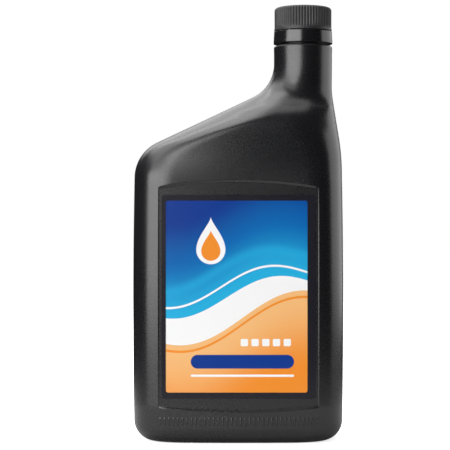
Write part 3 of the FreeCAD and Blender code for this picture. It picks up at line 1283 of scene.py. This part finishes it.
    def parting_line(self) -> bpy.types.Object:
        """Makes the fine raised seam that the mould leaves up both narrow sides and over the shoulder.

        The seam is a flattened half round carried along the form's outline at y = 0, turned to face
        outwards at each height.

        Returns:
            The piece.
        """
        form = self.form
        low, high = self.seam_low, form.neck_top - 1.6
        heights = spaced([low, form.shoulder, form.neck_top - 7.0, high], [40, 110, 8])
        fade = faded_ends(heights, low, high, self.seam_fade)
        around = np.radians(np.linspace(0.0, 180.0, 9))
        spread = self.seam_width / 2 * np.cos(around)[None, :]
        rise = self.seam_height * fade[:, None] * np.sin(around)[None, :]
        patches = []
        for side, angle in ((1.0, 0.0), (-1.0, math.pi)):
            path = form.surface(heights, np.full_like(heights, angle), self.skin)
            along = np.gradient(path, axis=0)
            along /= np.linalg.norm(along, axis=1)[:, None]
            outward = np.stack([along[:, 2], np.zeros(len(path)), -along[:, 0]], axis=-1) * side
            top, foot = (
                path[:, None, :] + outward[:, None, :] * out[..., None]
                for out in (rise, np.full_like(rise, -self.seam_root))
            )
            top[..., 1] += spread
            foot[..., 1] += spread
            ring = np.concatenate([top, foot[:, ::-1]], axis=1)
            centre = ring.mean(axis=1, keepdims=True)
            ends = [np.broadcast_to(centre[number], ring[:1].shape) for number in (0, -1)]
            tube = np.concatenate([ends[0], ring, ends[1]])
            patches.append(grid_patch(tube[:, ::-1] if side > 0 else tube, True))
        return make_piece("parting_line", patches)

    def pinch_off(self) -> bpy.types.Object:
        """Makes the seam across the hollow foot: a low ridge with rounded ends, ragged along its crest.

        Returns:
            The piece.
        """
        left, right, _ = (float(v) for v in self.form.limits(np.array(0.0), 0.0))
        along = np.linspace(-1.0, 1.0, 81)
        around = np.radians(np.linspace(0.0, 180.0, 11))
        fade = np.sqrt(np.maximum(1 - np.abs(along) ** 10, 0.0))
        ragged = 1 - self.pinch_ragged * (0.5 + 0.5 * np.sin(41.0 * along) * np.sin(17.0 * along + 1.0))
        x = (left + right) / 2 + along * self.pinch_length / 2
        y = self.pinch_width / 2 * fade[:, None] * np.cos(around)[None, :]
        drop = self.pinch_height * (fade * ragged)[:, None] * np.sin(around)[None, :]
        z = self.push_up + self.pinch_lift - drop
        ridge = np.stack([np.broadcast_to(x[:, None], y.shape), y, z], axis=-1)
        back = ridge.copy()
        back[..., 2] = self.push_up + self.pinch_root
        return make_piece("pinch_off", [grid_patch(np.concatenate([ridge, back[:, ::-1]], axis=1), True)])

    def thread(self) -> bpy.types.Object:
        """Makes the raised thread on the finish."""
        ridge = Thread(
            centre_x=self.form.neck_offset,
            root=self.finish_radius - 0.1,
            crest=self.thread_radius,
            start=self.form.neck_top + self.thread_start,
            turns=self.thread_turns,
            root_width=2.1,
            crest_width=0.9,
        )
        return make_piece("neck_thread", [ridge.patch()])

    def marks(self) -> bpy.types.Object:
        """Makes the row of low bars along the foot of the front, each swelling by (1 - u^6)(1 - v^6).

        Returns:
            The piece.
        """
        u, v = np.meshgrid(np.linspace(-1, 1, 9), np.linspace(-1, 1, 13), indexing="ij")
        swell = (1 - u**6) * (1 - v**6)
        z = (self.mark_high + self.mark_low) / 2 + v * (self.mark_high - self.mark_low) / 2
        patches = []
        for place in np.linspace(-self.mark_reach, self.mark_reach, self.mark_count):
            x = place + u * self.mark_width / 2
            face = self.form.front_at(x, z, self.skin)
            front = np.stack([x, face - self.mark_height * swell + self.mark_rim, z], axis=-1)
            back = np.stack([x, face + self.mark_root, z], axis=-1)
            patches.append(closed_pad(front, back))
        return make_piece("foot_marks", patches)

    def build(self, plastic: bpy.types.Material) -> None:
        """Builds the bottle's pieces and dresses them.

        Args:
            plastic: Finish of the black bottle.
        """
        present(self.shell(), Body.BOTTLE, Slot.BODY, plastic, "bottle")
        for piece in (self.parting_line(), self.pinch_off(), self.thread(), self.marks()):
            present(piece, Body.BOTTLE, Slot.BODY, plastic)


@dataclass
class Contents:
    """The oil in the bottle."""

    form: BlownForm
    floor: float = 3.7
    level: float = 182.0
    inset: float = 2.2
    meniscus: float = 0.6

    def build(self, oil: bpy.types.Material) -> None:
        """Builds the oil: the blown form drawn in evenly, cut at its level, with a rim that creeps up.

        Args:
            oil: Finish of the oil.
        """
        angles = turn_angles(180)
        rows = spaced([self.floor, self.form.base_corner_radius, self.form.shoulder, self.level], [7, 12, 26])
        side = self.form.surface(rows[:, None], angles[None, :], self.inset)
        shares = np.array([0.97, 0.9, 0.6, 0.3, 0.0])
        low, top = drawn_in(side[0], shares[::-1]), drawn_in(side[-1], shares)
        top[..., 2] = self.level - self.meniscus * (1 - shares[:, None] ** 12)
        piece = make_piece("oil_fill", [grid_patch(np.concatenate([low, side, top]), True)])
        present(piece, Body.BOTTLE, Slot.OIL, oil, "motor_oil")


@dataclass
class Label:
    """The printed film on the front panel."""

    form: BlownForm
    half_width: float = 40.2
    low: float = 24.2
    high: float = 130.7
    corner: float = 1.5
    outer_inset: float = 0.68
    inner_inset: float = 0.88

    def build(self, printed: bpy.types.Material) -> None:
        """Builds the label and dresses it.

        Its grid runs straight across and up; each row near the top or bottom edge is shortened by
        r - sqrt(r² - d²), which rounds the corners.

        Args:
            printed: Finish with the print.
        """
        rows = spaced([self.low, self.low + self.corner, self.high - self.corner, self.high], [8, 60, 8])
        to_edge = np.minimum(rows - self.low, self.high - rows)
        short = edge_round(to_edge, self.corner, 0.0)
        u = spaced([-1.0, 1.0], [90])
        x = u[None, :] * (self.half_width - short)[:, None]
        z = np.broadcast_to(rows[:, None], x.shape)
        insets = (self.outer_inset, self.inner_inset)
        front, back = (np.stack([x, -self.form.flat_at(z, inset), z], axis=-1) for inset in insets)
        piece = make_piece("front_label_film", [closed_pad(front, back)])
        present(piece, Body.BOTTLE, Slot.LABEL, printed, "front_label")


@dataclass
class Closure:
    """The screw cap with its ribs and inner thread, and the tamper band below it; the liner stays the
    imported node.
    """

    centre_x: float = 35.0
    radius: float = 15.35
    root: float = 14.95
    rim_radius: float = 15.5
    bore: float = 13.9
    low: float = 219.25
    high: float = 232.0
    ceiling: float = 230.6
    rim_height: float = 1.4
    edge_radius: float = 1.8
    dish: float = 0.12
    rib_count: int = 60
    steps_a_rib: int = 12
    rib_sharpness: float = 1.6
    band_radius: float = 15.6
    band_flare: float = 0.25
    band_wall: float = 0.55
    band_lip: float = 0.5
    band_low: float = 212.5
    band_high: float = 218.85
    hook_radius: float = 13.25
    hook_top: float = 214.75
    hook_height: float = 1.1
    bridge_count: int = 12
    bridge_half_depth: float = 0.25
    bridge_half_turn: float = 0.03
    bridge_gap: float = 0.05
    bridge_root: float = 0.1
    thread_crest: float = 12.85
    thread_start: float = 221.9
    thread_turns: float = 1.2

    def cap_profile(self) -> Array:
        """Profile of the cap from its ceiling, down its bore, round its rim and up to its top.

        Returns:
            Rows of (radius, height).
        """
        soft = 0.25
        ceiling = [(0.0, self.ceiling), (6.0, self.ceiling), (self.bore - 0.4, self.ceiling)]
        inner = 0.3
        corner = arc_points((self.bore - inner, self.ceiling - inner), inner, 90, 0, 4)
        inside = [(self.bore, height) for height in np.linspace(self.ceiling - 2.0, self.low + 1.2, 5)]
        entry = [(self.bore, self.low + 0.6), (self.bore + 0.4, self.low + 0.08), (self.bore + 0.5, self.low)]
        rim = arc_points((self.rim_radius - soft, self.low + soft), soft, -90, 0, 5)
        step = arc_points((self.rim_radius - soft, self.low + self.rim_height - soft), soft, 0, 70, 5)
        skirt_low = self.low + self.rim_height + 0.1
        skirt_high = self.high - self.edge_radius - 0.5
        skirt = [(self.radius, height) for height in np.linspace(skirt_low, skirt_high, 12)]
        edge_centre = (self.radius - self.edge_radius, self.high - self.edge_radius)
        edge = arc_points(edge_centre, self.edge_radius, 0, 90, 14)
        top = np.array([(radius, self.high) for radius in (12.0, 9.0, 6.0, 3.0, 0.0)])
        top[:, 1] -= self.dish * (1 - eased(top[:, 0], 9.0, 12.5))
        return np.concatenate([ceiling, corner, inside, entry, rim, step, skirt, edge, top])

    def cap(self) -> bpy.types.Object:
        """Makes the cap: its profile turned, with rounded ribs pressed into the skirt.

        The groove between two ribs is the power of a cosine round the cap, and it fades in above
        the rim and out over the rounded top edge.

        Returns:
            The piece.
        """
        profile = self.cap_profile()
        angles = turn_angles(self.rib_count * self.steps_a_rib)
        points = turned_grid(profile, angles, self.centre_x)
        radius, height = profile[:, 0], profile[:, 1]
        rim_top = self.low + self.rim_height
        depth = (self.radius - self.root) * (np.arange(len(profile)) > np.argmax(radius))
        depth = depth * eased(height, rim_top, rim_top + 0.7)
        depth = depth * eased(radius, self.radius - 1.5, self.radius - 0.5)
        groove = (0.5 - 0.5 * np.cos(self.rib_count * angles)) ** self.rib_sharpness
        inward = depth[:, None] * groove[None, :]
        points[..., 0] -= inward * np.cos(angles)
        points[..., 1] -= inward * np.sin(angles)
        return make_piece("cap_shell", [grid_patch(points, True)], crease=50.0)

    def cap_thread(self) -> bpy.types.Object:
        """Makes the thread inside the cap."""
        ridge = Thread(
            centre_x=self.centre_x,
            root=self.bore + 0.1,
            crest=self.thread_crest,
            start=self.thread_start,
            turns=self.thread_turns,
            root_width=1.5,
            crest_width=0.7,
        )
        return make_piece("cap_thread", [ridge.patch()])

    def band_profile(self) -> Array:
        """Closed profile of the tamper band, with rounded edges and the hook inside.

        Returns:
            Rows of (radius, height).
        """
        soft = 0.18
        outer_low = self.band_radius + self.band_flare
        inner_low = outer_low - self.band_lip
        inner_high = self.band_radius - self.band_wall
        hook_low = self.hook_top - self.hook_height
        outside = [
            (outer_low, self.band_low + 1.2),
            ((outer_low + self.band_radius) / 2, (self.band_low + self.band_high) / 2),
            (self.band_radius, self.band_high - 1.0),
        ]
        inside = [
            (inner_high, self.band_high - 0.5),
            (inner_high, self.hook_top + 0.3),
            (inner_high - 0.3, self.hook_top),
            (self.hook_radius + 0.15, self.hook_top),
            (self.hook_radius, self.hook_top - 0.15),
            (self.hook_radius, hook_low + 0.1),
            (self.hook_radius + 0.2, hook_low - 0.06),
        ]
        return np.concatenate(
            [
                arc_points((outer_low - soft, self.band_low + soft), soft, -90, 0, 5),
                outside,
                arc_points((self.band_radius - soft, self.band_high - soft), soft, 0, 90, 5),
                arc_points((inner_high + soft, self.band_high - soft), soft, 90, 180, 4),
                inside,
                [(inner_low, self.band_low + 0.06), (inner_low + 0.12, self.band_low)],
            ]
        )

    def band(self) -> bpy.types.Object:
        """Makes the tamper band and the small bridges on its upper edge.

        Returns:
            The piece.
        """
        profile = self.band_profile()
        closed = np.concatenate([profile, profile[:1]])
        patches = [grid_patch(turned_grid(closed, turn_angles(192), self.centre_x), True)]
        u, v = np.meshgrid(np.linspace(-1, 1, 5), np.linspace(-1, 1, 5), indexing="ij")
        middle = self.band_radius - self.band_wall / 2
        for place in np.arange(self.bridge_count) * FULL_TURN / self.bridge_count:
            radius = middle + self.bridge_half_depth * u
            turn = place + self.bridge_half_turn * v
            x = self.centre_x + radius * np.cos(turn)
            y = radius * np.sin(turn)
            top, foot = (
                np.stack([x, y, np.full_like(x, level)], axis=-1)
                for level in (self.low - self.bridge_gap, self.band_high - self.bridge_root)
            )
            patches.append(closed_pad(top, foot))
        return make_piece("tamper_ring", patches)

    def build(self, matt: bpy.types.Material, shiny: bpy.types.Material) -> None:
        """Builds the closure's pieces and dresses them.

        Args:
            matt: Finish of the cap.
            shiny: Finish of the tamper band.
        """
        present(self.cap(), Body.CAP, Slot.CAP, matt, "cap")
        present(self.cap_thread(), Body.CAP, Slot.CAP, matt)
        present(self.band(), Body.BOTTLE, Slot.CAP, shiny, "tamper_band")


@dataclass
class Softbox:
    """A rectangular light that looks at the bottle from a bearing and an elevation, both in degrees."""

    name: str
    bearing: float
    elevation: float
    distance: float
    width: float
    height: float
    power: float
    aim: tuple[float, float, float] = (0.0, 0.0, 0.12)

    def build(self, glossy_share: float, fill_share: float) -> None:
        """Makes the light as a pair in one place, so that gloss at a flat angle doesn't burn out.

        The bearing is counted from the camera's side towards +X, in degrees.

        Args:
            glossy_share: Share of the power that also shows in gloss.
            fill_share: Share of the power that only lights.
        """
        turn = math.radians(self.bearing)
        rise = math.radians(self.elevation)
        direction = (math.sin(turn) * math.cos(rise), -math.cos(turn) * math.cos(rise), math.sin(rise))
        for name, share in ((self.name, glossy_share), (self.name + "_fill", fill_share)):
            light = bpy.data.lights.new(name, "AREA")
            light.shape = "RECTANGLE"
            light.size = self.width
            light.size_y = self.height
            light.energy = self.power * share
            lamp = add_object(name, light)
            lamp.location = tuple(a + d * self.distance for a, d in zip(self.aim, direction))
            lamp.rotation_euler = (QUARTER_TURN - rise, 0.0, turn)
            lamp.visible_camera = False
            lamp.visible_glossy = name == self.name


@dataclass
class Studio:
    """Camera, lights, floor and surroundings."""

    distance: float = 0.865
    eye_height: float = 0.1149
    eye_x: float = -0.0071
    frame_width: float = 0.243
    sensor: float = 36.0
    clip_end: float = 50.0
    floor_size: float = 12.0
    floor_colour: Colour = (0.85, 0.85, 0.85)
    floor_roughness: float = 0.9
    glow_reach: Pair = (0.12, 0.75)
    glow: Pair = (0.72, 1.05)
    table_reach: Pair = (0.1, 0.42)
    table_near: Colour = (0.36, 0.36, 0.36)
    table_far: Colour = (0.012, 0.012, 0.012)
    surround: float = 0.018
    glossy_share: float = 0.5
    fill_share: float = 0.95

    def camera(self) -> None:
        """Makes the level camera that has the photograph's frame at the bottle's mid-plane."""
        data = bpy.data.cameras.new("photo_camera")
        data.sensor_width = self.sensor
        data.lens = self.sensor * self.distance / self.frame_width
        data.clip_end = self.clip_end
        camera = add_object("photo_camera", data)
        camera.location = (self.eye_x, -self.distance, self.eye_height)
        camera.rotation_euler = (QUARTER_TURN, 0.0, 0.0)
        bpy.context.scene.camera = camera

    def floor(self) -> None:
        """Makes the pale floor: white to the eye, and in reflections bright only near the bottle."""
        half = self.floor_size / 2
        mesh = bpy.data.meshes.new("studio_floor")
        corners = [(-half, -half, 0.0), (half, -half, 0.0), (half, half, 0.0), (-half, half, 0.0)]
        mesh.from_pydata(corners, [], [(0, 1, 2, 3)])
        floor = add_object("studio_floor", mesh)
        material, shader = blank_material("pale_floor")
        length = shader.node("ShaderNodeVectorMath", {0: shader.place()}, operation="LENGTH")
        away = Term(shader, length.outputs["Value"])
        seen = shader.node(
            "ShaderNodeBsdfPrincipled",
            {
                "Base Color": self.floor_colour,
                "Roughness": self.floor_roughness,
                "Specular IOR Level": 0.0,
                "Emission Color": WHITE,
                "Emission Strength": away.span(*self.glow_reach, *self.glow),
            },
        )
        table = shader.blend(away.span(*self.table_reach), self.table_near, self.table_far)
        reflected = shader.node("ShaderNodeBsdfDiffuse", {"Color": table})
        shader.by_ray(seen, reflected, "ShaderNodeOutputMaterial")
        mesh.materials.append(material)

    def surroundings(self) -> None:
        """Makes the world: white to the eye, dim in reflections, so that the softboxes shape the gloss."""
        world = bpy.data.worlds.new("studio")
        world.use_nodes = True
        world.node_tree.nodes.clear()
        bpy.context.scene.world = world
        shader = Shader(world.node_tree)
        seen, dim = (
            shader.node("ShaderNodeBackground", {"Color": WHITE, "Strength": strength})
            for strength in (1.0, self.surround)
        )
        shader.by_ray(seen, dim, "ShaderNodeOutputWorld")

    def build(self) -> None:
        """Builds the whole studio."""
        self.camera()
        self.floor()
        self.surroundings()
        # name, bearing, elevation, distance, width, height, power
        for softbox in (
            Softbox("key_softbox", -39.5, 4.0, 0.95, 1.1, 0.66, 14.5),
            Softbox("rim_card", 114.0, 2.0, 0.95, 1.4, 0.9, 9.2),
            Softbox("roof_softbox", -100.0, 62.0, 1.0, 1.1, 0.9, 12.5),
            Softbox("back_softbox", 175.0, 44.0, 1.05, 1.5, 0.95, 14.0),
            Softbox("top_card", 10.0, 86.0, 1.0, 0.9, 0.7, 3.6),
            Softbox("shoulder_card", -36.0, 33.0, 1.0, 1.0, 0.5, 4.0),
        ):
            softbox.build(self.glossy_share, self.fill_share)
        bpy.context.scene.view_settings.view_transform = "Standard"


def dress_node(frame: dict[str, Any], node: str, material: bpy.types.Material) -> None:
    """Gives a CAD node that stays in view its finish.

    Args:
        node: Name of the node.
        material: Its finish.
    """
    piece = frame["nodes"][node]
    if not piece.material_slots:
        piece.data.materials.append(material)
    for place in piece.material_slots:
        place.material = material
    LOG.info("%s: dressed", node)


def main() -> None:
    """Builds the bottle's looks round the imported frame, in order."""
    logging.basicConfig(level=logging.INFO, format="%(name)s: %(message)s")
    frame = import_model()
    skin = MouldedSkin().build()
    body_plastic = MouldedPlastic(
        name="black_bottle",
        colour=(0.004, 0.004, 0.0047),
        rubbed=(0.014, 0.014, 0.015),
        roughness=0.28,
        unevenness=0.07,
        grain_height=0.000012,
    ).build(skin)
    cap_plastic = MouldedPlastic(
        name="black_cap",
        colour=(0.009, 0.009, 0.0096),
        rubbed=(0.035, 0.035, 0.037),
        roughness=0.52,
        grain_scale=1500.0,
        wear=0.5,
    ).build(skin)
    band_plastic = MouldedPlastic(
        name="black_band",
        colour=(0.004, 0.004, 0.0047),
        rubbed=(0.02, 0.02, 0.021),
        roughness=0.19,
        unevenness=0.03,
        grain_height=0.000008,
    ).build(skin)
    form = BlownForm()
    Bottle(form, LabelPanel()).build(body_plastic)
    Label(form).build(LabelPrint().build())
    Closure().build(cap_plastic, band_plastic)
    dress_node(frame, "cap_liner", LinerFoam().build())
    Contents(form).build(OilFinish().build())
    Studio().build()


if __name__ == "__main__":
    main()
